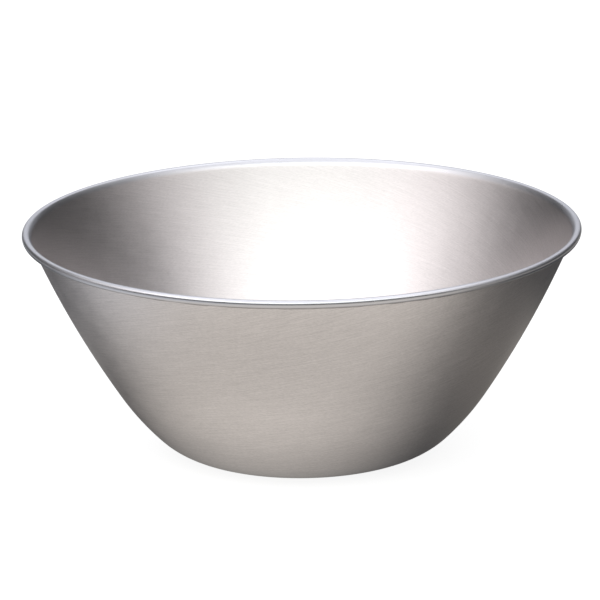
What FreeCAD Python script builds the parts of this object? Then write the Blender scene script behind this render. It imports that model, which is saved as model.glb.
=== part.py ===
import FreeCAD, Part

import math
import os

# A free-standing mixing bowl: one drawn stainless sheet whose edge is rolled over a steel wire.
# Millimetres, +Z up, origin at the centre of the flat underside.
# The sheet's section lies in the XZ plane and is revolved about Z. It is a chain of tangent arcs:
# corner, shoulder, wall, flare and curl, each with one centre that both faces of the sheet share.

# Outside sizes
RIM_DIAMETER = 275.0
OVERALL_HEIGHT = 113.2
FOOT_DIAMETER = 96.0
SHEET = 0.6

# Lower bends, measured on the outside face; the angles are the wall's slope where each bend ends
CORNER_RADIUS = 37.0
CORNER_SLOPE = math.radians(44.2)
SHOULDER_RADIUS = 130.0
SHOULDER_SLOPE = math.radians(56.7)

# Rolled edge: the wall leans out over the flare, then curls outward and under, back to the wall
BEAD_DIAMETER = 3.8
FLARE_RADIUS = 12.0
FLARE_SLOPE = math.radians(52.0)
CURL_TURN = math.radians(303.0)

# Wire ring inside the curl, cut to length, with a small gap where its ends meet at the back
WIRE_DIAMETER = 2.2
WIRE_END_GAP = 1.0

AXIS_POINT = FreeCAD.Vector(0, 0, 0)
AXIS = FreeCAD.Vector(0, 0, 1)
FULL_TURN = 360.0


def down_normal(slope):
    """Unit vector square to a line of this slope, on its lower right side."""
    return FreeCAD.Vector(math.sin(slope), 0, -math.cos(slope))


class Bend:
    """One arc of the section. bulge is +1 where the outside face is the larger arc, else -1."""

    def __init__(self, centre, outer_radius, start_slope, end_slope, bulge):
        self.centre = centre
        self.outer_radius = outer_radius
        self.start_slope = start_slope
        self.end_slope = end_slope
        self.bulge = bulge

    def point(self, slope, depth):
        """The point of this slope, at a depth below the outside face."""
        radius = self.outer_radius - self.bulge * depth
        return self.centre + down_normal(slope) * (self.bulge * radius)

    def edge(self, depth):
        middle_slope = (self.start_slope + self.end_slope) / 2
        ends_and_middle = [
            self.point(slope, depth) for slope in (self.start_slope, middle_slope, self.end_slope)
        ]
        return Part.Arc(*ends_and_middle).toShape()


def bead_centre():
    bead_radius = BEAD_DIAMETER / 2
    return FreeCAD.Vector(RIM_DIAMETER / 2 - bead_radius, 0, OVERALL_HEIGHT - bead_radius)


def section_bends():
    """The bends from the foot to the curl's raw edge."""
    corner_centre = FreeCAD.Vector(FOOT_DIAMETER / 2, 0, CORNER_RADIUS)
    corner = Bend(corner_centre, CORNER_RADIUS, 0.0, CORNER_SLOPE, 1)

    shoulder_centre = corner_centre - down_normal(CORNER_SLOPE) * (SHOULDER_RADIUS - CORNER_RADIUS)
    shoulder = Bend(shoulder_centre, SHOULDER_RADIUS, CORNER_SLOPE, SHOULDER_SLOPE, 1)

    curl_inner_radius = BEAD_DIAMETER / 2 - SHEET
    curl_centre = bead_centre()
    flare_centre = curl_centre + down_normal(FLARE_SLOPE) * (FLARE_RADIUS - curl_inner_radius)

    # The wall is the one arc tangent to the shoulder's end and to the flare
    shoulder_end = shoulder.point(SHOULDER_SLOPE, 0.0)
    towards_inside = down_normal(SHOULDER_SLOPE) * -1
    from_flare = shoulder_end - flare_centre
    wall_radius = (from_flare.Length ** 2 - FLARE_RADIUS ** 2) / (
        2 * (FLARE_RADIUS - from_flare.dot(towards_inside))
    )
    wall_centre = shoulder_end + towards_inside * wall_radius
    to_flare = flare_centre - wall_centre
    wall_top_slope = math.atan2(to_flare.x, -to_flare.z)
    wall = Bend(wall_centre, wall_radius, SHOULDER_SLOPE, wall_top_slope, 1)

    flare = Bend(flare_centre, FLARE_RADIUS, wall_top_slope, FLARE_SLOPE, -1)
    curl = Bend(curl_centre, curl_inner_radius, FLARE_SLOPE, FLARE_SLOPE - CURL_TURN, -1)
    return [corner, shoulder, wall, flare, curl]


def bowl_shell():
    """The drawn sheet with its rolled edge."""
    bends = section_bends()
    foot = FreeCAD.Vector(0, 0, 0)
    floor = FreeCAD.Vector(0, 0, SHEET)
    foot_edge = Part.makeLine(foot, bends[0].point(0.0, 0.0))
    floor_edge = Part.makeLine(floor, bends[0].point(0.0, SHEET))
    centre_edge = Part.makeLine(foot, floor)
    curl = bends[-1]
    raw_edge = Part.makeLine(curl.point(curl.end_slope, 0.0), curl.point(curl.end_slope, SHEET))

    outside = [bend.edge(0.0) for bend in bends]
    inside = [bend.edge(SHEET) for bend in reversed(bends)]
    outline = Part.Wire([centre_edge, foot_edge, *outside, raw_edge, *inside, floor_edge])
    return Part.Face(outline).revolve(AXIS_POINT, AXIS, FULL_TURN)


def rim_wire():
    """The wire ring in the curl, one open ring whose ends face each other at the back (+Y)."""
    centre = bead_centre()
    section = Part.Face(Part.Wire(Part.makeCircle(WIRE_DIAMETER / 2, centre, FreeCAD.Vector(0, 1, 0))))
    end_gap_angle = math.degrees(WIRE_END_GAP / centre.x)
    back = 90.0
    section.rotate(AXIS_POINT, AXIS, back + end_gap_angle / 2)
    return section.revolve(AXIS_POINT, AXIS, FULL_TURN - end_gap_angle)


def raw_edge_gap():
    """How far the curl's raw edge stays from the outside face that it points back at."""
    *_, wall, flare, curl = section_bends()
    raw_corner = Part.Vertex(curl.point(curl.end_slope, SHEET))
    outside_face = Part.makeCompound([wall.edge(0.0), flare.edge(0.0)])
    return raw_corner.distToShape(outside_face)[0]


def write(name, shape):
    if len(shape.Solids) != 1 or not shape.isValid() or shape.Volume <= 0:
        raise ValueError(f"{name} is not one valid solid")
    shape.Solids[0].exportStep(f"parts/{name}.step")
    box = shape.optimalBoundingBox()
    size = f"{box.XLength:.2f} x {box.YLength:.2f} x {box.ZLength:.2f} mm"
    print(f"{name}: {size}, {shape.Volume:.0f} mm3")


os.makedirs("parts", exist_ok=True)
shell = bowl_shell()
wire = rim_wire()
write("bowl_shell", shell)
write("rim_wire", wire)
print(f"clearance from the curl to the wire: {shell.distToShape(wire)[0]:.3f} mm")
print(f"gap from the curl's raw edge to the wall: {raw_edge_gap():.3f} mm")
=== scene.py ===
import math

import bmesh
import bpy
from mathutils import Matrix, Vector


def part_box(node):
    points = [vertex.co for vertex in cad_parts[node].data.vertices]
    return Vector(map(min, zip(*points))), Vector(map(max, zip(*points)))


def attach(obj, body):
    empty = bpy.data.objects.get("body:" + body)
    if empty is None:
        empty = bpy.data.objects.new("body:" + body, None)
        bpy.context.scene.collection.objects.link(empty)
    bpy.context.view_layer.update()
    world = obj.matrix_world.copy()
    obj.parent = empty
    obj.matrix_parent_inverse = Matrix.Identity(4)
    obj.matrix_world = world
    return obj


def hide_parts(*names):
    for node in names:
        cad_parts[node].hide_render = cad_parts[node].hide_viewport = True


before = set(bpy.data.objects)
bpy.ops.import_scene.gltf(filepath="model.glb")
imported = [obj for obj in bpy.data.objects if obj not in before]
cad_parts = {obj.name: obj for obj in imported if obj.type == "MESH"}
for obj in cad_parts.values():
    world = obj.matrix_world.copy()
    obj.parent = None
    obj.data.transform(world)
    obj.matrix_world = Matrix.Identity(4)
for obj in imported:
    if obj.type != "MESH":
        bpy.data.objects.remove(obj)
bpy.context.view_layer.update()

# A drawn stainless steel mixing bowl on a pale floor. Metres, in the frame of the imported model.

MM = 0.001
SHELL_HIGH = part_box("bowl_shell")[1]
RIM_RADIUS = SHELL_HIGH.x
HEIGHT = SHELL_HIGH.z

# The sheet's section, as in the part: its outside face, from the foot to the rolled edge.
# A slope is the angle between the wall and the ground where a bend ends.
SHEET = 0.6 * MM
FOOT_RADIUS = 48.0 * MM
CORNER_RADIUS = 37.0 * MM
CORNER_SLOPE = math.radians(44.2)
SHOULDER_RADIUS = 130.0 * MM
SHOULDER_SLOPE = math.radians(56.7)
FLARE_RADIUS = 12.0 * MM
FLARE_SLOPE = math.radians(52.0)
BEAD_RADIUS = 1.9 * MM
CURL_TURN = math.radians(303.0)

# How finely the sheet is meshed: round the axis, across the foot, and along each bend
SECTORS = 360
FOOT_RINGS = 10
BEND_STEPS = (14, 16, 30, 6, 30)


def polar(angle, radius):
    return Vector((radius * math.cos(angle), radius * math.sin(angle)))


def down_normal(slope):
    """Unit vector in the section, square to a line of this slope, on its lower right side."""
    return Vector((math.sin(slope), -math.cos(slope)))


def section_bends():
    """(centre, outside radius, start slope, end slope, bulge) of each bend, up to the raw edge."""
    corner_centre = Vector((FOOT_RADIUS, CORNER_RADIUS))
    shoulder_centre = corner_centre - down_normal(CORNER_SLOPE) * (SHOULDER_RADIUS - CORNER_RADIUS)
    curl_centre = Vector((RIM_RADIUS - BEAD_RADIUS, HEIGHT - BEAD_RADIUS))
    curl_inner = BEAD_RADIUS - SHEET
    flare_centre = curl_centre + down_normal(FLARE_SLOPE) * (FLARE_RADIUS - curl_inner)

    # The wall is the one arc tangent to the shoulder's end and to the flare
    normal = down_normal(SHOULDER_SLOPE)
    shoulder_end = shoulder_centre + normal * SHOULDER_RADIUS
    from_flare = shoulder_end - flare_centre
    wall_radius = (from_flare.length_squared - FLARE_RADIUS**2) / (
        2 * (FLARE_RADIUS + from_flare.dot(normal))
    )
    wall_centre = shoulder_end - normal * wall_radius
    to_flare = flare_centre - wall_centre
    wall_slope = math.atan2(to_flare.x, -to_flare.y)
    return [
        (corner_centre, CORNER_RADIUS, 0.0, CORNER_SLOPE, 1),
        (shoulder_centre, SHOULDER_RADIUS, CORNER_SLOPE, SHOULDER_SLOPE, 1),
        (wall_centre, wall_radius, SHOULDER_SLOPE, wall_slope, 1),
        (flare_centre, FLARE_RADIUS, wall_slope, FLARE_SLOPE, -1),
        (curl_centre, curl_inner, FLARE_SLOPE, FLARE_SLOPE - CURL_TURN, -1),
    ]


def face_points(depth):
    """Points (radius, height) along the sheet at a depth under its outside face, foot first."""
    points = [Vector((FOOT_RADIUS * k / FOOT_RINGS, depth)) for k in range(1, FOOT_RINGS + 1)]
    for (centre, radius, start, end, bulge), steps in zip(section_bends(), BEND_STEPS):
        for k in range(1, steps + 1):
            slope = start + (end - start) * k / steps
            points.append(centre + down_normal(slope) * bulge * (radius - bulge * depth))
    return points


def lathe(name, outline, sectors):
    """A closed surface turned about Z from an outline that starts and ends on the axis."""
    first, *rings, last = outline
    verts = [(0.0, 0.0, first.y)]
    for ring in rings:
        for s in range(sectors):
            xy = polar(2 * math.pi * s / sectors, ring.x)
            verts.append((xy.x, xy.y, ring.y))
    verts.append((0.0, 0.0, last.y))
    faces = []
    for s in range(sectors):
        after = (s + 1) % sectors
        faces.append((0, 1 + after, 1 + s))
        for k in range(len(rings) - 1):
            low = 1 + k * sectors
            high = low + sectors
            faces.append((low + s, low + after, high + after, high + s))
        top = 1 + (len(rings) - 1) * sectors
        faces.append((top + s, top + after, len(verts) - 1))
    mesh = bpy.data.meshes.new(name)
    mesh.from_pydata(verts, [], faces)
    mesh.update()
    mesh.shade_smooth()
    obj = bpy.data.objects.new(name, mesh)
    bpy.context.scene.collection.objects.link(obj)
    return obj


def bowl_sheet():
    outside = face_points(0.0)
    inside = face_points(SHEET)
    outline = [Vector((0.0, 0.0)), *outside, *reversed(inside), Vector((0.0, SHEET))]
    sheet = lathe("bowl_sheet", outline, SECTORS)
    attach(sheet, "root")
    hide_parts("bowl_shell")
    return sheet


# ---- materials ----

# Steel colours are linear RGB
STEEL = (0.635, 0.600, 0.600)
BEAD_STEEL = (0.610, 0.604, 0.632)
STEEL_ROUGHNESS = 0.32
BEAD_ROUGHNESS = 0.30
STEEL_ANISOTROPY = 0.8
BEAD_ANISOTROPY = 0.7

# The burnished steel of the bead reaches this far past its surface, and fades out by the second
BURNISH_FULL = 0.2 * MM
BURNISH_GONE = 1.6 * MM

# The brushing climbs the wall as a shallow right-handed helix. Twisting the plane by this many
# radians per unit of ln(radius), then sampling noise in it, draws such lines at any radius.
# Inside the core's radius the twist doesn't grow.
GRAIN_TWIST = 9.0
TWIST_CORE = 3.0 * MM

# Each pattern is noise of a scale, in cells per metre, that changes the tone by its share. The
# grit's cells are flatter than wide, and inside the bowl these patterns are fainter.
GRAIN_SCALE = 520.0
GRAIN_TONE = 0.50
STREAK_SCALE = 150.0
STREAK_TONE = 0.08
MOTTLE_SCALE = 130.0
MOTTLE_TONE = 0.05
GRIT_SCALE = 650.0
GRIT_TONE = 0.50
GRIT_FLATNESS = 5.0
INSIDE_BRUSHING = 0.66

# The specks are the peaks of their noise
SPECK_SCALE = 210.0
SPECK_PEAK = (0.75, 0.80)
SPECK_TONE = 0.04

GRAIN_ROUGHNESS = 0.12
MOTTLE_ROUGHNESS = 0.06
GRAIN_DEPTH = 0.012 * MM
MOTTLE_DEPTH = 0.02 * MM

# Painted shade: a dark line where the rolled edge closes on the wall, and how much light the painted
# shade leaves
CREASE_HEIGHT = HEIGHT - 4.9 * MM
CREASE_WAVES = 90.0
CREASE_WAVER = 0.9 * MM
CREASE_CORE = 0.12 * MM
CREASE_EDGE = 0.28 * MM
CREASE_SHADE = 0.4

# The wire's steel, with die lines along it and broad stains
WIRE_STEEL = (0.60, 0.60, 0.59)
WIRE_DARKEST = 0.75
DIE_LINE_SCALE = 9000.0
DIE_LINE_TONE = 0.2
DIE_LINE_DEPTH = 0.01 * MM
STAIN_SCALE = 60.0
STAIN_TONE = 0.15
STAIN_RANGE = (0.3, 0.7)
WIRE_ROUGHNESS = (0.28, 0.42)


class Nodes:
    """Short ways to add and join the nodes of one material or world."""

    def __init__(self, owner):
        owner.use_nodes = True
        self.tree = owner.node_tree
        self.tree.nodes.clear()

    def add(self, kind, **settings):
        node = self.tree.nodes.new(kind)
        for key, value in settings.items():
            setattr(node, key, value)
        return node

    def link(self, source, target):
        self.tree.links.new(source, target)

    def feed(self, target, value):
        """Joins an output to an input, or sets the input to a plain value."""
        if isinstance(value, bpy.types.NodeSocket):
            self.link(value, target)
        else:
            target.default_value = value

    def math(self, operation, first, second=0.0):
        node = self.add("ShaderNodeMath", operation=operation)
        self.feed(node.inputs[0], first)
        self.feed(node.inputs[1], second)
        return node.outputs[0]

    def vector_math(self, operation, first, second):
        node = self.add("ShaderNodeVectorMath", operation=operation)
        self.feed(node.inputs[0], first)
        self.feed(node.inputs[1], second)
        return node.outputs

    def stretched(self, vector, factors):
        """The vector with each of its parts times a factor of its own."""
        return self.vector_math("MULTIPLY", vector, factors)["Vector"]

    def along(self, point, direction):
        """How far the point lies in a direction."""
        return self.vector_math("DOT_PRODUCT", point, direction)["Value"]

    def scaled(self, vector, factor):
        node = self.add("ShaderNodeVectorMath", operation="SCALE")
        self.feed(node.inputs[0], vector)
        self.feed(node.inputs["Scale"], factor)
        return node.outputs["Vector"]

    def length(self, vector):
        node = self.add("ShaderNodeVectorMath", operation="LENGTH")
        self.link(vector, node.inputs[0])
        return node.outputs["Value"]

    def split(self, vector):
        """The vector's X, Y and Z."""
        node = self.add("ShaderNodeSeparateXYZ")
        self.link(vector, node.inputs["Vector"])
        return node.outputs

    def hypotenuse(self, first, second):
        squares = [self.math("MULTIPLY", side, side) for side in (first, second)]
        return self.math("SQRT", self.math("ADD", *squares))

    def mix(self, data_type, factor, first, second):
        """Goes from the first value to the second as the factor goes from 0 to 1."""
        node = self.add("ShaderNodeMix", data_type=data_type)
        self.feed(node.inputs["Factor"], factor)
        self.feed(node.inputs["A"], first)
        self.feed(node.inputs["B"], second)
        return node.outputs["Result"]

    def ramp(self, value, start, end, low=0.0, high=1.0):
        """Eases from low to high as the value goes from start to end."""
        node = self.add("ShaderNodeMapRange", interpolation_type="SMOOTHSTEP")
        self.feed(node.inputs["Value"], value)
        node.inputs["From Min"].default_value = start
        node.inputs["From Max"].default_value = end
        node.inputs["To Min"].default_value = low
        node.inputs["To Max"].default_value = high
        return node.outputs["Result"]

    def noise(self, vector, scale, detail=2.0, roughness=0.5):
        node = self.add("ShaderNodeTexNoise")
        self.link(vector, node.inputs["Vector"])
        node.inputs["Scale"].default_value = scale
        node.inputs["Detail"].default_value = detail
        node.inputs["Roughness"].default_value = roughness
        return node.outputs["Fac"]

    def centred(self, pattern, share):
        """The pattern moved so that its middle is 0, and scaled to its share."""
        return self.math("MULTIPLY", self.math("SUBTRACT", pattern, 0.5), share)

    def bump(self, height, distance, normal=None):
        node = self.add("ShaderNodeBump")
        node.inputs["Distance"].default_value = distance
        self.link(height, node.inputs["Height"])
        if normal is not None:
            self.link(normal, node.inputs["Normal"])
        return node.outputs["Normal"]

    def metal(self, colour, roughness, normal):
        """A metal shader; returns the node, so that more of its inputs can be set."""
        shader = self.add("ShaderNodeBsdfPrincipled")
        shader.inputs["Metallic"].default_value = 1.0
        self.link(colour, shader.inputs["Base Color"])
        self.link(roughness, shader.inputs["Roughness"])
        self.link(normal, shader.inputs["Normal"])
        return shader

    def surface(self, shader_output, output_kind="ShaderNodeOutputMaterial"):
        output = self.add(output_kind)
        self.link(shader_output, output.inputs["Surface"])


def place(nodes):
    """The point on the object, with its distance from the axis and its height."""
    point = nodes.add("ShaderNodeTexCoord").outputs["Object"]
    x, y, height = nodes.split(point)
    return point, nodes.hypotenuse(x, y), height


def twisted(nodes, point, radius):
    """The point turned about Z by an amount that grows with its radius, and laid flat."""
    log_radius = nodes.math("LOGARITHM", nodes.math("MAXIMUM", radius, TWIST_CORE), math.e)
    turn = nodes.add("ShaderNodeVectorRotate", rotation_type="Z_AXIS")
    nodes.link(point, turn.inputs["Vector"])
    nodes.link(nodes.math("MULTIPLY", log_radius, -GRAIN_TWIST), turn.inputs["Angle"])
    return nodes.stretched(turn.outputs["Vector"], (1.0, 1.0, 0.0))


def near_bead(nodes, radius, height):
    """1 on the rolled bead, easing to 0 on the brushed wall just below it."""
    across = nodes.math("SUBTRACT", radius, RIM_RADIUS - BEAD_RADIUS)
    above = nodes.math("SUBTRACT", height, HEIGHT - BEAD_RADIUS)
    distance = nodes.hypotenuse(across, above)
    return nodes.ramp(distance, BEAD_RADIUS + BURNISH_GONE, BEAD_RADIUS + BURNISH_FULL)


def on_outside(nodes):
    """1 where the wall faces down and out, 0 on its inside face."""
    facing = nodes.split(nodes.add("ShaderNodeNewGeometry").outputs["Normal"])
    return nodes.math("LESS_THAN", facing["Z"], 0.0)


def painted_crease_shade(nodes, point, height, outside):
    """1 along a slightly wavy line of painted shade on the outside face, where the rolled edge closes
    on the wall.
    """
    waver = nodes.centred(nodes.noise(point, CREASE_WAVES, detail=3.0), CREASE_WAVER)
    middle = nodes.math("ADD", waver, CREASE_HEIGHT)
    distance = nodes.math("ABSOLUTE", nodes.math("SUBTRACT", height, middle))
    return nodes.math("MULTIPLY", nodes.ramp(distance, CREASE_EDGE, CREASE_CORE), outside)


def brushed_steel():
    material = bpy.data.materials.new("brushed_steel")
    nodes = Nodes(material)
    point, radius, height = place(nodes)
    brushed = twisted(nodes, point, radius)
    bead = near_bead(nodes, radius, height)
    wall = nodes.math("SUBTRACT", 1.0, bead)
    outside = on_outside(nodes)

    grain = nodes.noise(brushed, GRAIN_SCALE, detail=3.0, roughness=0.6)
    streaks = nodes.noise(brushed, STREAK_SCALE)
    mottle = nodes.noise(point, MOTTLE_SCALE)
    grit = nodes.noise(nodes.stretched(point, (1.0, 1.0, GRIT_FLATNESS)), GRIT_SCALE, roughness=0.7)
    specks = nodes.ramp(nodes.noise(point, SPECK_SCALE, detail=1.0), *SPECK_PEAK)

    brushing = nodes.math("MULTIPLY", wall, nodes.ramp(outside, 0.0, 1.0, INSIDE_BRUSHING, 1.0))
    tone = 1.0
    tones = ((grain, GRAIN_TONE), (streaks, STREAK_TONE), (mottle, MOTTLE_TONE), (grit, GRIT_TONE))
    for pattern, share in tones:
        tone = nodes.math("ADD", nodes.math("MULTIPLY", nodes.centred(pattern, share), brushing), tone)
    tone = nodes.math("SUBTRACT", tone, nodes.math("MULTIPLY", specks, SPECK_TONE))
    # Painted shade: the steel's colour is darkened along the line under the bead
    shade = nodes.ramp(painted_crease_shade(nodes, point, height, outside), 0.0, 1.0, 1.0, CREASE_SHADE)
    tone = nodes.math("MULTIPLY", tone, shade)
    colour = nodes.scaled(nodes.mix("VECTOR", bead, STEEL, BEAD_STEEL), tone)

    roughness = nodes.ramp(bead, 0.0, 1.0, STEEL_ROUGHNESS, BEAD_ROUGHNESS)
    for pattern, share in ((grain, GRAIN_ROUGHNESS), (mottle, MOTTLE_ROUGHNESS)):
        roughness = nodes.math("ADD", roughness, nodes.centred(pattern, share))

    ripples = nodes.bump(mottle, MOTTLE_DEPTH)
    scratches = nodes.bump(nodes.math("MULTIPLY", grain, wall), GRAIN_DEPTH, ripples)
    shader = nodes.metal(colour, roughness, scratches)
    anisotropy = nodes.ramp(bead, 0.0, 1.0, STEEL_ANISOTROPY, BEAD_ANISOTROPY)
    nodes.link(anisotropy, shader.inputs["Anisotropic"])
    tangent = nodes.add("ShaderNodeTangent", direction_type="RADIAL", axis="Z")
    nodes.link(tangent.outputs["Tangent"], shader.inputs["Tangent"])
    nodes.surface(shader.outputs["BSDF"])
    return material


def drawn_wire():
    """Bright wire with fine die lines along it, so they run round the ring."""
    material = bpy.data.materials.new("drawn_wire")
    nodes = Nodes(material)
    point, radius, height = place(nodes)
    section = nodes.add("ShaderNodeCombineXYZ")
    nodes.link(radius, section.inputs["X"])
    nodes.link(height, section.inputs["Y"])
    die_lines = nodes.noise(section.outputs["Vector"], DIE_LINE_SCALE)
    stains = nodes.noise(point, STAIN_SCALE)
    lines_tone = nodes.math("MULTIPLY", die_lines, DIE_LINE_TONE)
    tone = nodes.math("ADD", lines_tone, nodes.math("MULTIPLY", stains, STAIN_TONE))
    colour = nodes.scaled(WIRE_STEEL, nodes.math("ADD", tone, WIRE_DARKEST))
    roughness = nodes.ramp(stains, *STAIN_RANGE, *WIRE_ROUGHNESS)
    shader = nodes.metal(colour, roughness, nodes.bump(die_lines, DIE_LINE_DEPTH))
    nodes.surface(shader.outputs["BSDF"])
    return material


# ---- stage ----

# The camera stands in front of the bowl (-Y) and looks a little down on it through a long lens
CAMERA_AIM = Vector((-1.3 * MM, 0.0, 75.1 * MM))
CAMERA_DISTANCE = 2.5105
CAMERA_PITCH = math.radians(15.780)
CAMERA_YAW = math.radians(0.032)
CAMERA_ROLL = math.radians(-0.803)
LENS_MM = 305.16
SENSOR_MM = 36.0


def camera():
    data = bpy.data.cameras.new("camera")
    data.lens = LENS_MM
    data.sensor_width = SENSOR_MM
    obj = bpy.data.objects.new("camera", data)
    bpy.context.scene.collection.objects.link(obj)
    forward = Vector(
        (
            -math.sin(CAMERA_YAW) * math.cos(CAMERA_PITCH),
            math.cos(CAMERA_YAW) * math.cos(CAMERA_PITCH),
            -math.sin(CAMERA_PITCH),
        )
    )
    right = forward.cross(Vector((0, 0, 1))).normalized()
    up = right.cross(forward)
    turn = Matrix.Rotation(-CAMERA_ROLL, 3, forward)
    right, up = turn @ right, turn @ up
    obj.matrix_world = Matrix((right, up, -forward)).transposed().to_4x4()
    obj.location = CAMERA_AIM - forward * CAMERA_DISTANCE
    bpy.context.scene.camera = obj


# The camera sees a white floor, from above only, and a white backdrop. The steel mirrors other things,
# which the camera doesn't see: a table that glows with painted light and painted shadow, softboxes and
# the sky.
WHITE = (1.0, 1.0, 1.0, 1.0)
FLOOR_REACH = 8.0
FLOOR_GLOW = 0.89
FLOOR_GREY = (0.25, 0.25, 0.25, 1.0)
FLOOR_DROP = 0.4 * MM

# The table glows with painted light, seen only in the steel: a painted pool of light in front of the
# bowl, bluer towards the left, and less bright far away and close behind the bowl. Elsewhere it is
# dim, and a little less so close to the bowl at the back right. A pair of numbers is where such a
# change starts and ends, in metres, and a vector is the direction in which it is measured.
TABLE_REACH = 2.0
TABLE_DROP = 0.2 * MM
TABLE_BRIGHT = (0.91, 0.88, 0.82, 1.0)
TABLE_BRIGHT_LEFT = (0.82, 0.84, 0.87, 1.0)
TABLE_DIM = (0.046, 0.050, 0.056, 1.0)
TABLE_DIM_RIGHT = (0.190, 0.183, 0.172, 1.0)
TABLE_FRONT = Vector((-0.292, -0.956, 0.0))
TABLE_FRONT_EDGE = (0.01, 0.12)
TABLE_LEFT_EDGE = (-0.08, -0.24)
TABLE_FAR = 0.6
TABLE_FAR_EDGE = (0.42, 0.8)
TABLE_BACK = 0.36
TABLE_BACK_EDGE = (0.01, 0.11)
TABLE_BACK_REACH = (0.24, 0.15)
TABLE_BACK_RIGHT = Vector((0.707, 0.707, 0.0))
TABLE_RIGHT_EDGE = (-0.03, 0.09)
TABLE_RIGHT_REACH = (0.26, 0.13)

# How bright the painted pool of light on the front of the table is at each distance from the bowl's
# axis, in metres; the dim stops close to the foot are painted shadow under the bowl
PAINTED_TABLE_RINGS = (
    (0.0, 0.3),
    (0.03, 0.3),
    (0.055, 0.6),
    (0.075, 1.0),
    (0.10, 0.98),
    (0.14, 0.82),
    (0.22, 0.95),
    (0.35, 0.8),
    (0.6, 0.6),
    (1.0, 1.0),
)

# The sky's brightness follows a power of its direction's Z. The pairs are parts of that direction:
# Z where it falls off towards the zenith, and Y where it grows from the front share to the full.
SKY_TINT = (0.98, 1.0, 1.04, 1.0)
SKY_OVERHEAD = 3.6
SKY_HORIZON = 0.04
SKY_POWER = 5.0
SKY_ZENITH = 0.42
SKY_ZENITH_EDGE = (0.89, 0.97)
SKY_FRONT = 0.8
SKY_FRONT_EDGE = (-0.5, 0.3)

# Softboxes face the bowl from one distance. Each has its azimuth in degrees from the front,
# growing towards +X, its elevation, its width in metres and its power in watts.
SOFTBOX_DISTANCE = 2.5
SOFTBOXES = (
    (-90, 12, 1.3, 2.4),
    (-90, 38, 1.3, 3.5),
    (-60, 38, 1.3, 8.2),
    (-30, 38, 1.3, 7.2),
    (0, 38, 1.3, 7.4),
    (30, 38, 1.3, 6.6),
    (60, 38, 1.3, 4.2),
    (75, 12, 1.3, 1.8),
    (180, 22, 2.5, 12.0),
)

# Their tints, by how many degrees they are from the front
FRONT_ZONE = 30
SIDE_ZONE = 90
FRONT_TINT = (0.965, 1.0, 0.97)
SIDE_TINT = (1.03, 1.0, 1.0)
BACK_TINT = (0.97, 1.0, 1.08)


def emission(nodes, colour, strength=1.0):
    shader = nodes.add("ShaderNodeEmission")
    nodes.feed(shader.inputs["Color"], colour)
    shader.inputs["Strength"].default_value = strength
    return shader.outputs["Emission"]


def show_only_to(obj, camera=False, glossy=False):
    """Lets only camera rays or only mirrored rays meet the object."""
    obj.visible_camera = camera
    obj.visible_glossy = glossy
    obj.visible_diffuse = False
    obj.visible_transmission = False
    obj.visible_volume_scatter = False
    obj.visible_shadow = False


def stage_object(name, mesh, material):
    mesh.materials.append(material)
    obj = bpy.data.objects.new(name, mesh)
    bpy.context.scene.collection.objects.link(obj)
    return obj


def stage_plane(name, reach, z, material):
    mesh = bpy.data.meshes.new(name)
    corners = [(-reach, -reach, z), (reach, -reach, z), (reach, reach, z), (-reach, reach, z)]
    mesh.from_pydata(corners, [], [(0, 1, 2, 3)])
    return stage_object(name, mesh, material)


def floor():
    material = bpy.data.materials.new("pale_floor")
    nodes = Nodes(material)
    diffuse = nodes.add("ShaderNodeBsdfDiffuse")
    diffuse.inputs["Color"].default_value = FLOOR_GREY
    both = nodes.add("ShaderNodeAddShader")
    nodes.link(diffuse.outputs["BSDF"], both.inputs[0])
    nodes.link(emission(nodes, WHITE, FLOOR_GLOW), both.inputs[1])
    one_sided = nodes.add("ShaderNodeMixShader")
    nodes.link(nodes.add("ShaderNodeNewGeometry").outputs["Backfacing"], one_sided.inputs[0])
    nodes.link(both.outputs["Shader"], one_sided.inputs[1])
    nodes.link(nodes.add("ShaderNodeBsdfTransparent").outputs["BSDF"], one_sided.inputs[2])
    nodes.surface(one_sided.outputs["Shader"])
    material.cycles.emission_sampling = "NONE"
    show_only_to(stage_plane("floor", FLOOR_REACH, -FLOOR_DROP, material), camera=True)


def painted_table_rings(nodes, distance):
    rings = nodes.add("ShaderNodeFloatCurve")
    nodes.link(distance, rings.inputs["Value"])
    points = rings.mapping.curves[0].points
    first, *between, last = PAINTED_TABLE_RINGS
    points[0].location = first
    points[1].location = last
    for stop, level in between:
        points.new(stop, level)
    rings.mapping.update()
    return rings.outputs["Value"]


def painted_table_light(nodes, point):
    x, y, _ = nodes.split(point)
    distance = nodes.length(point)

    front = nodes.ramp(nodes.along(point, TABLE_FRONT), *TABLE_FRONT_EDGE)
    front = nodes.math("MULTIPLY", front, painted_table_rings(nodes, distance))
    far = nodes.ramp(distance, *TABLE_FAR_EDGE, 0.0, TABLE_FAR)
    back = nodes.ramp(distance, *TABLE_BACK_REACH, 0.0, TABLE_BACK)
    back = nodes.math("MULTIPLY", nodes.ramp(y, *TABLE_BACK_EDGE), back)
    glow = nodes.math("MAXIMUM", nodes.math("MAXIMUM", front, far), back)

    right = nodes.ramp(nodes.along(point, TABLE_BACK_RIGHT), *TABLE_RIGHT_EDGE)
    right = nodes.math("MULTIPLY", right, nodes.ramp(distance, *TABLE_RIGHT_REACH))
    dim = nodes.mix("RGBA", right, TABLE_DIM, TABLE_DIM_RIGHT)
    bright = nodes.mix("RGBA", nodes.ramp(x, *TABLE_LEFT_EDGE), TABLE_BRIGHT, TABLE_BRIGHT_LEFT)
    return nodes.mix("RGBA", glow, dim, bright)


def mirrored_table():
    material = bpy.data.materials.new("table_painted_light")
    nodes = Nodes(material)
    point = nodes.add("ShaderNodeTexCoord").outputs["Object"]
    # The table's emission is painted light: a pool of light in front, with painted shadow close to the
    # foot
    nodes.surface(emission(nodes, painted_table_light(nodes, point)))
    show_only_to(stage_plane("mirrored_table", TABLE_REACH, -TABLE_DROP, material), glossy=True)


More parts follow.
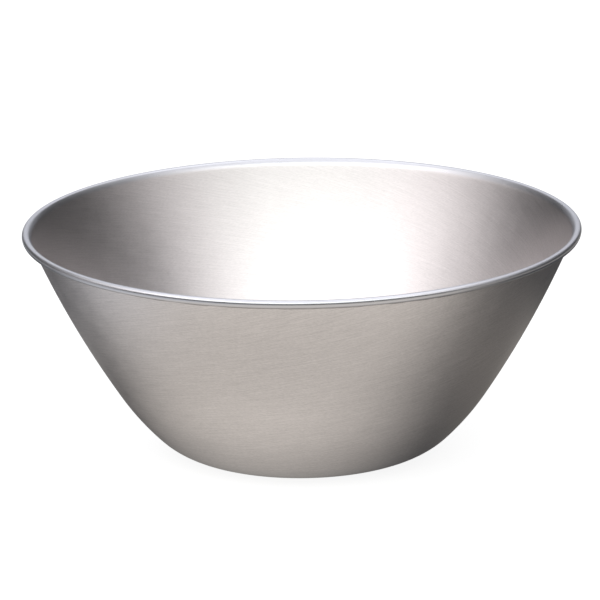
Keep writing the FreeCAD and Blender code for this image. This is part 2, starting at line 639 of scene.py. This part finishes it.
def backdrop():
    material = bpy.data.materials.new("white_backdrop")
    nodes = Nodes(material)
    nodes.surface(emission(nodes, WHITE))
    material.cycles.emission_sampling = "NONE"
    mesh = bpy.data.meshes.new("backdrop")
    shape = bmesh.new()
    bmesh.ops.create_icosphere(shape, subdivisions=3, radius=FLOOR_REACH)
    shape.to_mesh(mesh)
    shape.free()
    show_only_to(stage_object("backdrop", mesh, material), camera=True)


def softbox_tint(azimuth):
    if abs(azimuth) <= FRONT_ZONE:
        return FRONT_TINT
    if abs(azimuth) <= SIDE_ZONE:
        return SIDE_TINT
    return BACK_TINT


def softbox(azimuth, elevation, width, power):
    turn = math.radians(azimuth)
    tip = math.radians(elevation)
    ahead = math.cos(tip)
    towards = Vector((math.sin(turn) * ahead, -math.cos(turn) * ahead, math.sin(tip)))

    data = bpy.data.lights.new("softbox", "AREA")
    data.shape = "RECTANGLE"
    data.size = width
    data.size_y = width
    data.energy = power
    data.color = softbox_tint(azimuth)
    obj = bpy.data.objects.new("softbox", data)
    bpy.context.scene.collection.objects.link(obj)
    obj.location = Vector((0.0, 0.0, HEIGHT / 2)) + towards * SOFTBOX_DISTANCE
    obj.rotation_mode = "QUATERNION"
    obj.rotation_quaternion = (-towards).to_track_quat("-Z", "Y")


def sky():
    """A soft dome: dim at the horizon, brightest high up, less bright at the zenith and in front."""
    world = bpy.data.worlds.new("sky")
    nodes = Nodes(world)
    _, y, z = nodes.split(nodes.add("ShaderNodeTexCoord").outputs["Generated"])
    rise = nodes.math("POWER", nodes.math("MAXIMUM", z, 0.0), SKY_POWER)
    rise = nodes.math("MULTIPLY", rise, nodes.ramp(z, *SKY_ZENITH_EDGE, 1.0, SKY_ZENITH))
    overhead = nodes.ramp(y, *SKY_FRONT_EDGE, SKY_FRONT * SKY_OVERHEAD, SKY_OVERHEAD)
    glow = nodes.math("ADD", nodes.math("MULTIPLY", rise, overhead), SKY_HORIZON)
    background = nodes.add("ShaderNodeBackground")
    background.inputs["Color"].default_value = SKY_TINT
    nodes.link(glow, background.inputs["Strength"])
    nodes.surface(background.outputs["Background"], "ShaderNodeOutputWorld")
    bpy.context.scene.world = world
    bpy.context.scene.view_settings.view_transform = "Standard"


sheet = bowl_sheet()
sheet.data.materials.append(brushed_steel())
wire = bpy.data.objects["rim_wire"]
wire.data.materials.clear()
wire.data.materials.append(drawn_wire())
camera()
floor()
mirrored_table()
backdrop()
for settings in SOFTBOXES:
    softbox(*settings)
sky()
